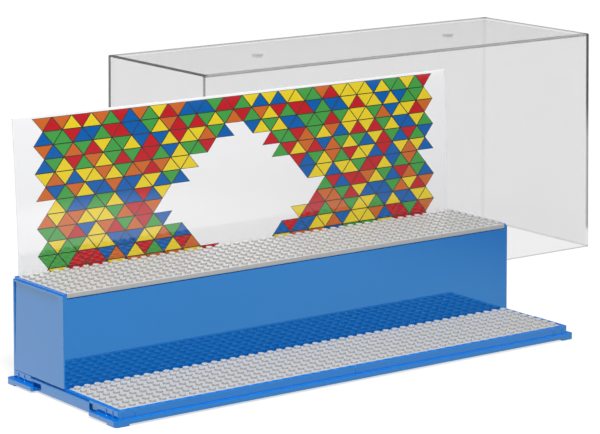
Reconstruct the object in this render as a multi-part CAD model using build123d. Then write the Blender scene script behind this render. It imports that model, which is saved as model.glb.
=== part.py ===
from build123d import *
import math
import os

# A two-step display case for toy figures. A moulded tray carries a stud plate in front and a hollow
# riser behind it. The riser carries a second stud plate, with a printed sheet standing in the slot
# behind it. A clear cover goes over the whole and clips to the tray; here it is off, and stands on
# the same surface behind the base and to the right.
#
# Millimetres. X runs along the case, Y from front to back and Z up. The origin is the middle of the
# tray on the surface that it stands on, and the riser's front face is at Y = 0.

# Stud plates
stud_pitch = 8.0
stud_radius = 2.4
stud_height = 1.7
studs_long = 48
studs_deep = 8
stud_sides = 4
plate_thickness = 3.2
plate_clearance = 0.1

# Tray: deck, rim and flange
foot_height = 1.2
foot_leg = 11.0
flange_thickness = 3.3
flange_reach_x = 4.2
flange_reach_y = 3.0
flange_corner = 3.0
rim_end_wall = 3.7
rim_side_wall = 3.9
rim_height = 5.7
rim_corner = 1.2
deck_thickness = 2.2
skirt_thickness = 2.5
under_rib_thickness = 1.6
under_rib_count = 7

# Tray: finger gaps, latch pockets and the ribs that centre the cover
finger_gap_length = 73.0
finger_gap_chamfer = 1.0
relief_margin = 3.25
relief_run = 0.7
relief_drop = 2.9
pocket_length = 9.5
pocket_depth = 1.5
pocket_sill = 1.1
pocket_head = 2.0
pocket_roof = 0.6
guide_rib_width = 1.2
guide_rib_depth = 0.6
guide_rib_top_gap = 1.0
guide_ribs_beside_corner = 2
guide_rib_pitch_x = 8.9
guide_rib_inset_x = 4.3
guide_rib_pitch_y = 8.0
guide_rib_inset_y = 7.0

# Riser
step_height = 65.8
riser_front_wall = 2.0
riser_end_wall = 3.6
riser_back_wall = 1.9
riser_edge_radius = 0.8
riser_ledge_width = 1.5
riser_ledge_drop = 1.5
reveal_height = 0.7
reveal_depth = 1.2
field_depth = 0.9
field_border_top = 3.0
field_border_front = 6.5
field_border_back = 2.6
field_border_bottom = 3.0
plate_shelf_width = 2.0
plate_shelf_thickness = 2.8
slot_width = 2.0
slot_depth = 8.0
slot_floor_thickness = 3.0
slot_inner_wall = 2.0

# Printed sheet. It stands off the middle by the shift, and bends back above its slot
backdrop_thickness = 1.2
backdrop_end_gap = 2.1
backdrop_headroom = 0.3
backdrop_shift = -1.2
backdrop_play = 0.2
backdrop_bend_radius = 1350.0
backdrop_corner = 1.5

# Clear cover, and where it stands
cover_height = 183.5
cover_wall = 2.0
cover_taper = 2.0
cover_play = 0.1
cover_corner = 2.0
cover_inner_corner = 0.5
cover_edge_radius = 0.8
cover_shift = 227.9
cover_standoff = 91.4
lug_length = 8.0
lug_depth = 1.3
lug_rise = 0.6
lug_height = 1.4
dimple_radius = 4.75
dimple_depth = 0.6
dimple_place_share = 0.25

# Cutters run past what they cut by this much
overrun = 1.0

# Levels and half sizes that follow from the values above
plate_length = studs_long * stud_pitch
plate_depth = studs_deep * stud_pitch
flange_top = foot_height + flange_thickness
rim_top = flange_top + rim_height
plate_floor = rim_top - plate_thickness
riser_top = rim_top + step_height
upper_plate_floor = riser_top - plate_thickness
well_x = plate_length / 2 + plate_clearance
well_y = plate_depth + plate_clearance
rim_x = well_x + rim_end_wall
rim_y = well_y + rim_side_wall
flange_x = rim_x + flange_reach_x
flange_y = rim_y + flange_reach_y
riser_x = well_x + riser_end_wall
slot_front = well_y
slot_back = slot_front + slot_width
riser_back = slot_back + riser_back_wall
slot_floor = riser_top - slot_depth
pocket_place = finger_gap_length / 2
relief_start = pocket_length / 2 - pocket_place
relief_end = pocket_place + pocket_length / 2 + relief_margin


def slab(x0, x1, y0, y1, z0, z1):
    """A rectangle in plan between x0, y0 and x1, y1, raised from z0 to z1."""
    plan = Pos((x0 + x1) / 2, (y0 + y1) / 2, z0) * Rectangle(x1 - x0, y1 - y0)
    return extrude(plan, z1 - z0)


def tapered(half_x, half_y, height, corner):
    """A block on Z = 0 whose walls lean in at the cover's slope, with its upright edges rounded."""
    slope = math.degrees(math.atan(cover_taper / cover_height))
    block = extrude(Rectangle(2 * half_x, 2 * half_y), height, taper=slope)
    upright_edges = block.edges().group_by(Axis.Z)[1]
    return fillet(upright_edges, corner)


def both_ends(shape):
    """The shape and its mirror image at the other end of the case."""
    return [shape, mirror(shape, Plane.YZ)]


# Stud plates


def stud_plate():
    """A plate centred on its own origin, its top face at Z = 0, with one stud for each grid square.

    The four corner studs are round. The others are prisms with the same area as the round stud.
    """
    corner_x = (studs_long - 1) * stud_pitch / 2
    corner_y = (studs_deep - 1) * stud_pitch / 2
    turn = 2 * math.pi / stud_sides
    prism_radius = stud_radius * math.sqrt(turn / math.sin(turn))
    prism = RegularPolygon(prism_radius, stud_sides)
    round_stud = Circle(stud_radius)
    studs = []
    for place in GridLocations(stud_pitch, stud_pitch, studs_long, studs_deep):
        x, y = place.position.X, place.position.Y
        at_corner = math.isclose(abs(x), corner_x) and math.isclose(abs(y), corner_y)
        studs.append(place * (round_stud if at_corner else prism))
    body = Pos(0, 0, -plate_thickness) * Rectangle(plate_length, plate_depth)
    return extrude(body, plate_thickness) + extrude(Sketch() + studs, stud_height)


# Tray


def guide_rib():
    """One crush rib, standing out along +X from X = 0, with a sloping head just under the rim's top."""
    head = rim_top - guide_rib_top_gap
    with_slope = Polyline(
        (0, 0, flange_top),
        (guide_rib_depth, 0, flange_top),
        (guide_rib_depth, 0, head - guide_rib_depth),
        (0, 0, head),
        close=True,
    )
    return extrude(make_face(with_slope), guide_rib_width / 2, both=True, dir=(0, 1, 0))


def guide_ribs():
    """The ribs at each corner of the rim and in the middle of its long sides."""
    ribs = []
    for side in (-1, 1):
        for step in range(guide_ribs_beside_corner):
            x = rim_x - guide_rib_inset_x - step * guide_rib_pitch_x
            y = rim_y - guide_rib_inset_y - step * guide_rib_pitch_y
            ribs += both_ends(Pos(x, side * rim_y, 0) * Rot(0, 0, side * 90) * guide_rib())
            ribs += both_ends(Pos(rim_x, side * y, 0) * guide_rib())
        ribs.append(Pos(0, side * rim_y, 0) * Rot(0, 0, side * 90) * guide_rib())
    return ribs


def flange_plan():
    """The flange's outline, cut back to the rim between the latch pockets at each end."""
    plan = RectangleRounded(2 * flange_x, 2 * flange_y, flange_corner)
    gap = Rectangle(flange_reach_x + overrun, finger_gap_length, align=(Align.MIN, Align.CENTER))
    for end in (0, 180):
        plan -= Rot(0, 0, end) * Pos(rim_x, 0) * gap
    tips = [v for v in plan.vertices() if math.isclose(abs(v.Y), finger_gap_length / 2)]
    tips = [v for v in tips if math.isclose(abs(v.X), flange_x)]
    return chamfer(tips, finger_gap_chamfer)


def tray():
    """The tray: flange, rim, sunk deck for the front plate and the riser, hollow underside."""
    rim_plan = RectangleRounded(2 * rim_x, 2 * rim_y, rim_corner)
    body = extrude(Pos(0, 0, foot_height) * rim_plan, rim_top - foot_height)
    body += extrude(Pos(0, 0, foot_height) * flange_plan(), flange_thickness)

    # The well that the front plate and the riser's front wall drop into
    body -= slab(-well_x, well_x, -well_y, well_y, plate_floor, rim_top + overrun)

    # Finger relief: the rim's outer top edge slopes away between the latch pockets and past the rear one
    slope = Polyline(
        (rim_x - relief_run, 0, rim_top),
        (rim_x, 0, rim_top - relief_drop),
        (rim_x + overrun, 0, rim_top - relief_drop),
        (rim_x + overrun, 0, rim_top + overrun),
        (rim_x - relief_run, 0, rim_top + overrun),
        close=True,
    )
    relief = extrude(make_face(slope), relief_end - relief_start, dir=(0, 1, 0))
    body -= both_ends(Pos(0, relief_start, 0) * relief)

    # Latch pockets in the rim, one at each end of each finger gap. Those behind stay below the relief
    for side, top in ((-1, rim_top - pocket_head), (1, rim_top - relief_drop - pocket_roof)):
        y0 = side * pocket_place - pocket_length / 2
        y1 = side * pocket_place + pocket_length / 2
        pocket = slab(rim_x - pocket_depth, rim_x + pocket_depth, y0, y1, flange_top - pocket_sill, top)
        body -= both_ends(pocket)

    # Hollow underside with cross ribs and one long rib
    hollow_x = rim_x - skirt_thickness
    hollow_y = rim_y - skirt_thickness
    ceiling = plate_floor - deck_thickness
    body -= slab(-hollow_x, hollow_x, -hollow_y, hollow_y, foot_height - overrun, ceiling)
    spacing = 2 * hollow_x / (under_rib_count + 1)
    cross = Rectangle(under_rib_thickness, 2 * hollow_y)
    web = Rectangle(2 * hollow_x, under_rib_thickness)
    for place in GridLocations(spacing, 0, under_rib_count, 1):
        web += place * cross
    body += extrude(Pos(0, 0, foot_height) * web, ceiling - foot_height)

    # Feet: an L under each corner, as wide as the flange and skirt that it hangs from
    pads = Sketch()
    for sx in (-1, 1):
        for sy in (-1, 1):
            corner = Pos(sx * (flange_x - foot_leg / 2), sy * (flange_y - foot_leg / 2))
            pads += corner * Rectangle(foot_leg, foot_leg)
    pads = pads & RectangleRounded(2 * flange_x, 2 * flange_y, flange_corner)
    pads = pads - Rectangle(2 * hollow_x, 2 * hollow_y)
    body += extrude(pads, foot_height)

    return body + guide_ribs()


# Riser


def riser():
    """The hollow riser: four walls, a shelf for the upper plate and a slot for the printed sheet.

    The front is upright and goes down to the deck. The ends and the back lean in like the cover that
    goes over them, and stand on the tray's rim.
    """
    past = riser_x + overrun
    top = riser_top + overrun
    body = Pos(0, 0, rim_top) * tapered(riser_x, riser_back, step_height, riser_edge_radius)
    body -= slab(-past, past, -riser_back - overrun, 0, rim_top - overrun, top)
    front_edges = body.faces().sort_by(Axis.Y)[0].edges()
    body = fillet(front_edges.filter_by(Axis.X, reverse=True), riser_edge_radius)
    tongue_x = well_x - plate_clearance
    body += slab(-tongue_x, tongue_x, 0, riser_front_wall, plate_floor, rim_top)

    # The upper plate lies between the end walls, flush with the front, over a narrow groove
    reveal = upper_plate_floor - reveal_height
    body -= slab(-well_x, well_x, -overrun, slot_front, upper_plate_floor, top)
    body -= slab(-well_x, well_x, -overrun, reveal_depth, reveal, top)
    body -= slab(-well_x, well_x, slot_front - overrun, slot_back, slot_floor, top)

    # Hollow inside, narrower under the plate where a shelf runs round
    shelf_bottom = upper_plate_floor - plate_shelf_thickness
    slot_bottom = slot_floor - slot_floor_thickness
    shelf_x = well_x - plate_shelf_width
    shelf_back = slot_front - slot_inner_wall
    low_back = riser_back - riser_front_wall
    body -= slab(-well_x, well_x, riser_front_wall, low_back, rim_top - overrun, slot_bottom)
    body -= slab(-well_x, well_x, riser_front_wall, shelf_back, slot_bottom - overrun, shelf_bottom)
    body -= slab(
        -shelf_x, shelf_x, riser_front_wall, shelf_back, shelf_bottom - overrun, riser_top
    )

    # The outer strip of each end wall's top lies a little lower
    ledge_x = riser_x - step_height * cover_taper / cover_height - riser_ledge_width
    ledge = riser_top - riser_ledge_drop
    body -= both_ends(slab(ledge_x, past, -overrun, riser_back + overrun, ledge, top))

    # A sunk field in each end face, deepest along its top and level with the face at its bottom
    low, high = field_border_bottom, step_height - field_border_top
    field = Polyline((low, 0), (high, -field_depth), (high, overrun), (low, overrun), close=True)
    up_the_face = (-cover_taper, 0, cover_height)
    side = Plane(origin=(riser_x, field_border_front, rim_top), x_dir=up_the_face, z_dir=(0, 1, 0))
    field_length = riser_back - field_border_front - field_border_back
    return body - both_ends(extrude(side * make_face(field), field_length))


# Printed sheet


def backdrop():
    """The sheet that stands in the slot behind the upper plate and bends back above it.

    Held straight it would end just under the top of the seated cover.
    """
    height = flange_top + cover_height - cover_wall - backdrop_headroom - slot_floor
    turn = (height - slot_depth) / backdrop_bend_radius
    front = slot_back - backdrop_play - backdrop_thickness
    bend_centre = front + backdrop_thickness / 2 + backdrop_bend_radius

    def bent(y, share):
        """A point of the sheet that would be at y if it were straight, part way along the bend."""
        radius = bend_centre - y
        angle = share * turn
        return (bend_centre - radius * math.cos(angle), riser_top + radius * math.sin(angle))

    back = front + backdrop_thickness
    profile = Polyline(bent(front, 0), (front, slot_floor), (back, slot_floor), bent(back, 0))
    profile += ThreePointArc(bent(back, 0), bent(back, 1 / 2), bent(back, 1))
    profile += Line(bent(back, 1), bent(front, 1))
    profile += ThreePointArc(bent(front, 1), bent(front, 1 / 2), bent(front, 0))
    length = plate_length + 2 * plate_clearance - 2 * backdrop_end_gap
    sheet = Pos(backdrop_shift, 0, 0) * extrude(Plane.YZ * make_face(profile), length / 2, both=True)
    for edge_face in (sheet.faces().sort_by(Axis.Z)[-1], sheet.faces().sort_by(Axis.Z)[0]):
        corners = edge_face.edges().filter_by(Axis.X, reverse=True)
        sheet = fillet(corners, backdrop_corner)
    return sheet


# Clear cover


def cover():
    """The cover, open at the bottom, standing on its lower edge with its centre at X = Y = 0."""
    gap = guide_rib_depth + cover_play
    inner_x, inner_y = rim_x + gap, rim_y + gap
    outer = tapered(inner_x + cover_wall, inner_y + cover_wall, cover_height, cover_corner)
    outer = fillet(outer.faces().sort_by(Axis.Z)[-1].edges(), cover_edge_radius)
    shell = outer - tapered(inner_x, inner_y, cover_height - cover_wall, cover_inner_corner)

    # Two lugs inside each end wall snap into the tray's pockets
    lug = Polyline(
        (inner_x + cover_wall / 2, 0, lug_rise),
        (inner_x - lug_depth / 2, 0, lug_rise),
        (inner_x - lug_depth, 0, lug_rise + lug_height / 2),
        (inner_x + cover_wall / 2, 0, lug_rise + lug_height + lug_depth),
        close=True,
    )
    lug = extrude(make_face(lug), lug_length / 2, both=True, dir=(0, 1, 0))
    for side in (-1, 1):
        shell += both_ends(Pos(0, side * pocket_place, 0) * lug)

    # Two round dimples in the top, on its centre line
    dimple = Pos(0, 0, cover_height - dimple_depth) * Circle(dimple_radius)
    spread = 2 * inner_x * dimple_place_share
    for side in (-1, 1):
        shell -= Pos(side * spread, 0, 0) * extrude(dimple, dimple_depth + overrun)
    return shell


# Put together
plate = stud_plate()
cover_centre_y = flange_y + cover_standoff + rim_y + guide_rib_depth + cover_play + cover_wall
parts = {
    "base_tray": tray(),
    "lower_stud_plate": Pos(0, -plate_depth / 2 - plate_clearance / 2, rim_top) * plate,
    "riser_shell": riser(),
    "upper_stud_plate": Pos(0, plate_depth / 2, riser_top) * plate,
    "backdrop_sheet": backdrop(),
    "clear_cover": Pos(cover_shift, cover_centre_y, 0) * cover(),
}
os.makedirs("parts", exist_ok=True)
for name, shape in parts.items():
    export_step(shape, f"parts/{name}.step")
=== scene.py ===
import math

import bmesh
import bpy
from mathutils import Matrix, Vector


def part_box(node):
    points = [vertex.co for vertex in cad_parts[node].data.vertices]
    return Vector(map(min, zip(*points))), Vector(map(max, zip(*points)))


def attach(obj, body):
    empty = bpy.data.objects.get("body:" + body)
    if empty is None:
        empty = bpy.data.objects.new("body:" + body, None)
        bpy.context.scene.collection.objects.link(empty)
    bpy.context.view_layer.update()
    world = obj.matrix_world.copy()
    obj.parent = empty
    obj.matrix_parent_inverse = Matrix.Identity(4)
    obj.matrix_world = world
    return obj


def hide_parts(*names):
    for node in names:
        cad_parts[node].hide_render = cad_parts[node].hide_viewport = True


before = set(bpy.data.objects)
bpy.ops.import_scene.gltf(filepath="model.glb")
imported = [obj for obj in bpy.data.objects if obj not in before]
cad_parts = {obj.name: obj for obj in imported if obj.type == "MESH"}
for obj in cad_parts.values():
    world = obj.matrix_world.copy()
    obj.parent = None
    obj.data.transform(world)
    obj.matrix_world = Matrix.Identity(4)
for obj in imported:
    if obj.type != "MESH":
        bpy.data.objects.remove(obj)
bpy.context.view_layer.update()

# Tray. The real one is a single injection moulding in glossy blue plastic, hollow underneath and
# standing on four corner feet. Its edges are slightly rounded, as the mould leaves them, and it has
# the faint ripple and fine handling marks of polished plastic.

mm = 0.001
merge_distance = 0.001 * mm
sharp_angle = math.radians(25.0)
crease_angle = math.radians(10.0)
crease_shortest = 20.0 * mm
crease_longest = 100.0 * mm
shading_angle = math.radians(50.0)
flow_scale = 9.0
marks_scale = 1400.0
ripple_scale = 45.0
fine_detail = 3.0
roughness_least = 0.8
roughness_range = 0.4
tray_edge = 0.25 * mm
blue = (0.0, 0.116, 0.465)
blue_variation = 0.04
blue_gloss = (0.26, 0.8, 1.0)
blue_index = 1.6
blue_roughness = 0.04
blue_ripple = 0.003 * mm


def is_sharp(edge):
    """Whether an edge is a clear corner, or the long faint crease under the finger relief."""
    if len(edge.link_faces) != 2:
        return False
    angle = edge.calc_face_angle()
    long_crease = angle > crease_angle and crease_shortest < edge.calc_length() < crease_longest
    level = abs(edge.verts[0].co.z - edge.verts[1].co.z) < merge_distance
    return angle > sharp_angle or (long_crease and level)


def round_over(shape, edges, width, segments=2):
    """Rounds edges of a bmesh over to a width."""
    bmesh.ops.bevel(
        shape, geom=edges, offset=width, offset_type="OFFSET", segments=segments, profile=0.5,
        affect="EDGES", material=-1,
    )


def mesh_of(shape, name, finish):
    """Turns a bmesh into a mesh with one material."""
    mesh = bpy.data.meshes.new(name)
    shape.to_mesh(mesh)
    shape.free()
    mesh.materials.append(finish)
    return mesh


def placed(name, data):
    """Puts a mesh, a lamp or a camera into the scene as an object."""
    thing = bpy.data.objects.new(name, data)
    bpy.context.scene.collection.objects.link(thing)
    return thing


def finished(shape, name, finish, body):
    """Makes a bmesh into a smooth-shaded piece that keeps its flats flat, and rides on a body."""
    mesh = mesh_of(shape, name, finish)
    mesh.shade_smooth()
    mesh.set_sharp_from_angle(angle=shading_angle)
    piece = placed(name, mesh)
    normals = piece.modifiers.new("Flat faces stay flat", "WEIGHTED_NORMAL")
    normals.keep_sharp = True
    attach(piece, body)
    return piece


def moulded(node, name, edge_radius, finish, body):
    """A copy of a CAD node, its triangles joined up and its sharp edges rounded."""
    shape = bmesh.new()
    shape.from_mesh(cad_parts[node].data)
    bmesh.ops.remove_doubles(shape, verts=shape.verts[:], dist=merge_distance)
    round_over(shape, [edge for edge in shape.edges if is_sharp(edge)], edge_radius)
    piece = finished(shape, name, finish, body)
    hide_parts(node)
    return piece


class Wire:
    """A socket in a graph. Sums, products and comparisons of wires add Math nodes."""

    def __init__(self, graph, socket):
        self.graph = graph
        self.socket = socket

    def math(self, operation, *values):
        inputs = dict(enumerate(values))
        return self.graph.add("Math", {"operation": operation}, inputs)

    def __add__(self, other):
        return self.math("ADD", self, other)

    def __radd__(self, other):
        return self.math("ADD", other, self)

    def __sub__(self, other):
        return self.math("SUBTRACT", self, other)

    def __rsub__(self, other):
        return self.math("SUBTRACT", other, self)

    def __mul__(self, other):
        return self.math("MULTIPLY", self, other)

    def __rmul__(self, other):
        return self.math("MULTIPLY", other, self)

    def __truediv__(self, other):
        return self.math("DIVIDE", self, other)

    def __rtruediv__(self, other):
        return self.math("DIVIDE", other, self)

    def __gt__(self, other):
        return self.math("GREATER_THAN", self, other)

    def __lt__(self, other):
        return self.math("LESS_THAN", self, other)

    def __abs__(self):
        return self.math("ABSOLUTE", self)

    def __floor__(self):
        return self.math("FLOOR", self)


class Graph:
    """A node tree under construction."""

    def __init__(self, tree):
        self.tree = tree

    def add(self, kind, settings, inputs, output=0):
        """A node of any kind: its settings first, then its sockets. Gives back one output."""
        node = self.tree.nodes.new("ShaderNode" + kind)
        for name, value in settings.items():
            setattr(node, name, value)
        for name, value in inputs.items():
            self.feed(node.inputs[name], value)
        return Wire(self, node.outputs[output])

    def feed(self, socket, value):
        """Links a wire to a socket, or sets the socket to a constant."""
        if isinstance(value, Wire):
            self.tree.links.new(value.socket, socket)
        else:
            socket.default_value = value

    def noise(self, per_metre, detail=2.0):
        """Soft blotches from 0 to 1, fixed to the object."""
        place = self.add("TexCoord", {}, {}, "Object")
        return self.add("TexNoise", {}, {"Vector": place, "Scale": per_metre, "Detail": detail})

    def place(self, kind="Object"):
        """Object coordinates as three wires, or in the surround the direction it is seen in."""
        spot = self.add("TexCoord", {}, {}, kind)
        parts = self.add("SeparateXYZ", {}, {"Vector": spot}).socket.node
        return [Wire(self, parts.outputs[axis]) for axis in "XYZ"]

    def ray(self, kind):
        """1 for one kind of ray and 0 for the others."""
        return self.add("LightPath", {}, {}, kind)

    def fade(self, value, zero, one):
        """A soft step from 0 to 1 while the value goes from the first bound to the second."""
        inputs = {"Value": value, "From Min": zero, "From Max": one}
        return self.add("MapRange", {"interpolation_type": "SMOOTHSTEP"}, inputs)

    def blend(self, share, first, second):
        """A mix of two colours, or of a colour and a wire that carries one."""
        inputs = {0: share, 6: first, 7: second}
        return self.add("Mix", {"data_type": "RGBA"}, inputs, 2)


class Finish(Graph):
    """A material around one Principled shader."""

    def __init__(self, name, **shader):
        self.material = bpy.data.materials.new(name)
        self.material.use_nodes = True
        super().__init__(self.material.node_tree)
        self.shader = self.tree.nodes["Principled BSDF"]
        for socket, value in shader.items():
            self.give(socket.replace("_", " "), value)

    def give(self, socket, value):
        """Feeds one socket of the shader."""
        self.feed(self.shader.inputs[socket], value)

    def moulding(self, darker, lighter, roughness, ripple, grain=0.0):
        """Colour, gloss and bump of a moulding: a slow flow pattern, fine marks and a ripple."""
        flow = self.noise(flow_scale, fine_detail)
        marks = self.noise(marks_scale, fine_detail)
        self.give("Base Color", self.blend(flow, rgb(darker), rgb(lighter)))
        self.give("Roughness", roughness * (roughness_least + roughness_range * marks))
        height = ripple * self.noise(ripple_scale) + grain * marks
        bump = self.add("Bump", {}, {"Height": height, "Distance": 1.0, "Strength": 1.0})
        self.give("Normal", bump)
        return self.material


def rgb(colour):
    """A colour as the shader's sockets take it."""
    return (*colour, 1.0)


def tinted(colour, factor):
    """The colour made lighter or darker by a factor."""
    return tuple(part * factor for part in colour)


blue_plastic = Finish("blue_plastic", IOR=blue_index, Specular_Tint=rgb(blue_gloss)).moulding(
    tinted(blue, 1.0 - blue_variation), tinted(blue, 1.0 + blue_variation),
    blue_roughness, blue_ripple,
)
moulded("base_tray", "tray", tray_edge, blue_plastic, "base")

# Stud plates. Each is one moulding in light grey plastic with a grid of round studs, each stud with
# its top edge softened. The front one drops into the tray's well, the other one into the riser's
# top, where its front edge stays in view.

stud_pitch = 8.0 * mm
stud_radius = 2.4 * mm
stud_height = 1.7 * mm
stud_root = 0.4 * mm
stud_softening = 0.3 * mm
stud_segments = 16
plate_edge = 0.25 * mm
grey = (0.38, 0.378, 0.374)
grey_variation = 0.03
grey_index = 1.45
grey_roughness = 0.3
grey_ripple = 0.01 * mm
grey_grain = 0.0005 * mm


def repeated(shape, geometry, count, step):
    """Copies part of a bmesh count - 1 times, each one a step further on."""
    for number in range(1, count):
        copy = bmesh.ops.duplicate(shape, geom=geometry)["geom"]
        verts = [item for item in copy if isinstance(item, bmesh.types.BMVert)]
        bmesh.ops.translate(shape, verts=verts, vec=Vector(step) * number)


def everything(shape):
    """All that a bmesh holds."""
    return shape.verts[:] + shape.edges[:] + shape.faces[:]


def stud_plate(node, name, finish):
    """A plate in the place of its CAD node, with a round stud on each grid square."""
    low, high = (Vector(corner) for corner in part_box(node))
    top = high.z - stud_height
    across = round((high.x - low.x) / stud_pitch)
    deep = round((high.y - low.y) / stud_pitch)

    # One stud, with its root inside the plate
    stud = bmesh.new()
    height = stud_height + stud_root
    first = Vector((low.x + stud_pitch / 2, low.y + stud_pitch / 2, top - stud_root + height / 2))
    bmesh.ops.create_cone(
        stud, cap_ends=True, segments=stud_segments, radius1=stud_radius, radius2=stud_radius,
        depth=height, matrix=Matrix.Translation(first),
    )
    rim = [edge for edge in stud.edges if all(vert.co.z > top for vert in edge.verts)]
    round_over(stud, rim, stud_softening, segments=1)

    # A row of studs and a grid of rows. The copy lacks the empty places that rounding over leaves,
    # so that the studs are listed in the same order at every run.
    shape = stud.copy()
    stud.free()
    repeated(shape, everything(shape), across, (stud_pitch, 0, 0))
    repeated(shape, everything(shape), deep, (0, stud_pitch, 0))

    # The plate itself. A dict lists each of its edges once, and in the same order at every run.
    middle = Vector(((low.x + high.x) / 2, (low.y + high.y) / 2, (low.z + top) / 2))
    size = Matrix.Diagonal((high.x - low.x, high.y - low.y, top - low.z, 1.0))
    body = bmesh.ops.create_cube(shape, size=1.0, matrix=Matrix.Translation(middle) @ size)
    edges = dict.fromkeys(edge for vert in body["verts"] for edge in vert.link_edges)
    round_over(shape, list(edges), plate_edge)
    plate = finished(shape, name, finish, "base")
    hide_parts(node)


grey_plastic = Finish("grey_plastic", IOR=grey_index).moulding(
    tinted(grey, 1.0 - grey_variation), tinted(grey, 1.0 + grey_variation),
    grey_roughness, grey_ripple, grey_grain,
)
stud_plate("lower_stud_plate", "front_plate", grey_plastic)
stud_plate("upper_stud_plate", "raised_plate", grey_plastic)

# Riser. A hollow moulding in the tray's blue plastic, polished so well that its front mirrors the
# studs before it. It stands on the tray's seat and carries the raised plate and the printed sheet.

riser_edge = 0.2 * mm
moulded("riser_shell", "riser", riser_edge, blue_plastic, "base")

# Printed sheet. A stiff white sheet that stands in the slot behind the raised plate. Its front is
# printed with a mosaic of triangles in toy colours with thin dark outlines, which leaves white
# margins and one open white field, and is glossy all over.

sheet_edge = 0.2 * mm
sheet_white = (0.83, 0.83, 0.84)
sheet_variation = 0.02
sheet_index = 1.5
sheet_ripple = 0.01 * mm
back_roughness = 0.06
print_roughness = 0.05
outline_colour = (0.03, 0.035, 0.03)
print_colours = (
    (0.0, 0.105, 0.39),
    (0.50, 0.0095, 0.0165),
    (0.75, 0.58, 0.019),
    (0.052, 0.32, 0.056),
    (0.565, 0.126, 0.018),
)
tile_half_width = 8.0 * mm
tile_height = 9.6 * mm
outline_width = 0.35 * mm
margin_x = 176.0 * mm
margin_step = 9.0 * mm
margin_top = 1.8 * mm
field_x = -6.0 * mm
field_z = 43.0 * mm
field_half_x = 74.0 * mm
field_half_z = 56.0 * mm
facing_front = -0.99


def mosaic(finish):
    """The sheet's print, as a colour: rows of triangles, each in one colour, with outlines."""
    low, high = (Vector(corner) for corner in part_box("backdrop_sheet"))
    x, _, z = finish.place()
    across = x / tile_half_width
    down = (high.z - margin_top - z) / tile_height
    column = math.floor(across)
    row = math.floor(down)
    in_column = across - column
    in_row = down - row

    # A tile's slanting side leans one way in even squares of the grid and the other way in odd ones
    odd = (column + row).math("MODULO", abs(column + row), 2.0)
    slant = odd + in_row * (1.0 - 2.0 * odd)
    past = in_column > slant
    tile = column + past

    key = finish.add("CombineXYZ", {}, {"X": tile, "Y": row})
    chance = finish.add("TexWhiteNoise", {"noise_dimensions": "3D"}, {"Vector": key})
    colour = rgb(print_colours[0])
    for number, ink in enumerate(print_colours[1:], start=1):
        colour = finish.blend(chance > number / len(print_colours), colour, rgb(ink))

    # Outlines, the same width along the rows and along the slanting sides
    slope = tile_height / math.hypot(tile_half_width, tile_height)
    from_side = abs(in_column - slant) * (tile_half_width * slope)
    from_row = in_row.math("MINIMUM", in_row, 1.0 - in_row) * tile_height
    line = from_side.math("MINIMUM", from_side, from_row) < outline_width
    colour = finish.blend(line, colour, rgb(outline_colour))

    # Where the tiles stop: above the first row, in ragged margins at both ends, and in a white
    # field in the shape of a rhombus
    ragged = finish.add("TexWhiteNoise", {"noise_dimensions": "1D"}, {"W": row})
    middle_x = tile * tile_half_width
    middle_z = high.z - low.z - margin_top - (row + 0.5) * tile_height
    printed = (abs(middle_x) < margin_x - margin_step * ragged) * (row > -0.5)
    reach = abs(middle_x - field_x) / field_half_x + abs(middle_z - field_z) / field_half_z
    printed = printed * (reach > 1.0)
    return finish.blend(printed, rgb(sheet_white), colour)


white_sheet = Finish("white_sheet", IOR=sheet_index).moulding(
    tinted(sheet_white, 1.0 - sheet_variation), sheet_white, back_roughness, sheet_ripple
)
print_finish = Finish("printed_face", Roughness=print_roughness, IOR=sheet_index)
print_finish.give("Base Color", mosaic(print_finish))
sheet = moulded("backdrop_sheet", "sheet", sheet_edge, white_sheet, "backdrop")
sheet.data.materials.append(print_finish.material)
for face in sheet.data.polygons:
    if face.normal.y < facing_front:
        face.material_index = 1

# Clear cover. A deep box moulded in clear plastic, open at the bottom, its walls leaning in a
# little. The flats are almost invisible. Along the edges, where two walls meet, dark lines are
# painted into the colour as painted reflections and shade, some nearly black and some faint.

cover_edge = 0.15 * mm
cover_index = 1.49
cover_roughness = 0.04
cover_lean = 2.0 / 183.5
clear_tint = (0.30, 0.30, 0.30)
clear_variation = 0.05
film_scale = 25.0
film_detail = 4.0
film_faced = 0.11
film_shallow = 0.12
film_least = 0.9
film_range = 0.2
shadow_loss = 0.8
painted_line_tint = (0.05, 0.055, 0.06)
painted_line_core = 0.8
darkest_painted_line = 0.95
corner_fades_in = (13.0 * mm, 19.0 * mm)
corner_darkens = (90.0 * mm, 130.0 * mm)
corner_foot = 0.2
corner_middle = 0.50
corner_rise = 0.40
dimple_x = 98.25 * mm
dimple_radius = 5.2 * mm
dimple_core = 4.4 * mm
dimple_painted_shade = 0.4
dimple_depth = 3.0 * mm


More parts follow.
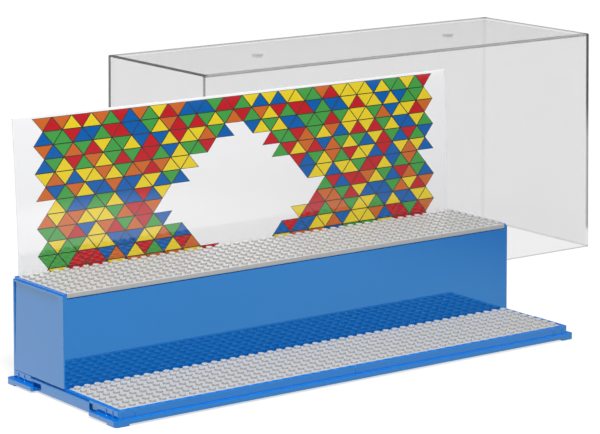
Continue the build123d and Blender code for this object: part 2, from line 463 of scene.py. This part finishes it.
def clear_plastic():
    """A thin tint, stronger where a wall is seen at a shallow angle, and painted reflection lines
    along the edges.
    """
    finish = Finish("clear_plastic", Roughness=cover_roughness, IOR=cover_index)
    low, high = (Vector(corner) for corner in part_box("clear_cover"))
    x, y, z = finish.place()
    lean = (z - low.z) * cover_lean
    left, right = x - low.x - lean, high.x - x - lean
    front, rear = y - low.y - lean, high.y - y - lean
    top, bottom = high.z - z, z - low.z

    # The painted line on the corner at the front right is faint at its foot and darkest at its top
    above_foot = corner_foot + (1.0 - corner_foot) * finish.fade(z, *corner_fades_in)
    front_right_painted_line = above_foot * (corner_middle + corner_rise * finish.fade(z, *corner_darkens))

    # Each painted reflection line: how dark its core is, then the two walls that meet there, each
    # with its gap to a point and how far over the other wall the line reaches
    line = 0.0
    for darkness, first_gap, first_reach, second_gap, second_reach in (
        (0.95, left, 3.5 * mm, rear, 4.5 * mm),
        (0.95, left, 4.5 * mm, top, 1.1 * mm),
        (0.70, left, 1.7 * mm, front, 1.7 * mm),
        (0.62, front, 4.5 * mm, top, 2.0 * mm),
        (front_right_painted_line, right, 4.5 * mm, front, 3.5 * mm),
        (0.10, right, 2.5 * mm, rear, 2.5 * mm),
        (0.30, right, 3.0 * mm, top, 0.9 * mm),
        (0.20, right, 9.0 * mm, top, 1.5 * mm),
        (0.20, rear, 3.0 * mm, top, 0.9 * mm),
        (0.27, rear, 11.0 * mm, top, 1.5 * mm),
        (0.30, front, 3.0 * mm, bottom, 1.2 * mm),
        (0.15, right, 3.0 * mm, bottom, 1.2 * mm),
    ):
        away = abs(first_gap) / first_reach + abs(second_gap) / second_reach
        line = line + darkness * finish.fade(away, 1.0, painted_line_core)

    # The two dimples in the top get painted shade, as greyer spots
    beside = abs(x - (low.x + high.x) / 2) - dimple_x
    behind = y - (low.y + high.y) / 2
    spot = finish.fade(beside * beside + behind * behind, dimple_radius ** 2, dimple_core ** 2)
    line = line + dimple_painted_shade * spot * (top < dimple_depth)
    line = line.math("MINIMUM", line, darkest_painted_line)

    # The film on the flats, a little uneven. Film and painted lines let most of the lamp's light
    # through.
    marks = finish.noise(film_scale, film_detail)
    turned = finish.add("LayerWeight", {}, {"Blend": 0.5}, "Facing")
    film = film_faced + film_shallow * (turned * turned * turned)
    film = film * (film_least + film_range * marks)
    shadowless = 1.0 - shadow_loss * finish.ray("Is Shadow Ray")
    finish.give("Alpha", (film + (1.0 - film) * line) * shadowless)
    darker = rgb(tinted(clear_tint, 1.0 - clear_variation))
    lighter = rgb(tinted(clear_tint, 1.0 + clear_variation))
    tint = finish.blend(marks, darker, lighter)
    # The painted reflection lines darken the colour towards their tint
    finish.give("Base Color", finish.blend(line, tint, rgb(painted_line_tint)))
    return finish.material


moulded("clear_cover", "cover", cover_edge, clear_plastic(), "cover")

# Studio. A plain white floor in a white surround, with one soft lamp high at the front left that
# shines straight down. To the camera the floor is evenly white, and the glossy faces find a bright
# pool of it before the case.

white = (1.0, 1.0, 1.0)
lamp_place = (-0.5, -0.55, 2.05)
lamp_width = 0.5
lamp_watts = 75.0
floor_half_width = 6.0
floor_grey = (0.4, 0.4, 0.4)
floor_grey_seen = (0.2, 0.2, 0.2)
floor_level = 1.03
lit_by_surround = 0.073
lit_by_lamp = 0.333
pool_level = 1.7
pool_x = (0.55, 0.2)
pool_y = (-0.80, -0.62)
surround_level = 0.30
surround_level_seen = 1.0
surround_loss_mirrored = 0.12
front_level_mirrored = 2.5
front_begins = (-0.2, -0.5)


def studio_floor():
    """The floor. Its own glow evens out the lamp's fall-off where the camera sees it directly."""
    shape = bmesh.new()
    bmesh.ops.create_grid(shape, x_segments=1, y_segments=1, size=floor_half_width)
    finish = Finish("floor", Roughness=1.0, Specular_IOR_Level=0.0, Emission_Color=rgb(white))
    x, y, _ = finish.place()
    seen = finish.ray("Is Camera Ray")
    mirrored = finish.ray("Is Glossy Ray")
    finish.give("Base Color", finish.blend(seen, rgb(floor_grey), rgb(floor_grey_seen)))

    # How bright the lamp and the surround make it, by the distance from the foot of the lamp
    away_x, away_y = x - lamp_place[0], y - lamp_place[1]
    spread = 1.0 + (away_x * away_x + away_y * away_y) / lamp_place[2] ** 2
    lit = lit_by_surround + lit_by_lamp / (spread * spread)
    pool = finish.fade(y, *pool_y) * finish.fade(x, *pool_x)
    strength = seen * (floor_level - lit) + mirrored * pool * pool_level
    finish.give("Emission Strength", strength)
    floor = placed("floor", mesh_of(shape, "floor", finish.material))


studio_floor()

lamp = bpy.data.lights.new("lamp_above", "AREA")
lamp.shape = "DISK"
lamp.size = lamp_width
lamp.energy = lamp_watts
placed("lamp_above", lamp).location = lamp_place

# The surround is white to the camera, weaker as light, and brighter before the case in the gloss
world = bpy.data.worlds.new("surround")
bpy.context.scene.world = world
world.use_nodes = True
surround = Graph(world.node_tree)
background = world.node_tree.nodes["Background"]
_, towards_rear, _ = surround.place("Generated")
in_front = surround.fade(towards_rear, *front_begins)
level = (
    surround_level
    + surround.ray("Is Camera Ray") * (surround_level_seen - surround_level)
    + surround.ray("Is Glossy Ray") * (front_level_mirrored * in_front - surround_loss_mirrored)
)
surround.feed(background.inputs["Color"], rgb(white))
surround.feed(background.inputs["Strength"], level)
bpy.context.scene.view_settings.view_transform = "Standard"

# Camera. It stands low at the front left and looks along the case through a long lens. Its place
# and directions were fitted to the grid of studs and to the corners of the tray in the photo.

focal_length = 160.92
sensor_width = 36.0
nearest_seen = 0.01
camera_place = (-1.09772, -1.50642, 0.48843)
camera_forward = (0.57732, 0.79126, -0.20152)
camera_right = (0.80753, -0.58982, -0.00250)

lens = bpy.data.cameras.new("camera")
lens.lens = focal_length
lens.sensor_width = sensor_width
lens.clip_start = nearest_seen
camera = placed("camera", lens)
forward = Vector(camera_forward).normalized()
right = Vector(camera_right)
right = (right - forward * right.dot(forward)).normalized()
upward = right.cross(forward)
turn = Matrix((right, upward, -forward)).transposed().to_4x4()
camera.matrix_world = Matrix.Translation(camera_place) @ turn
bpy.context.scene.camera = camera
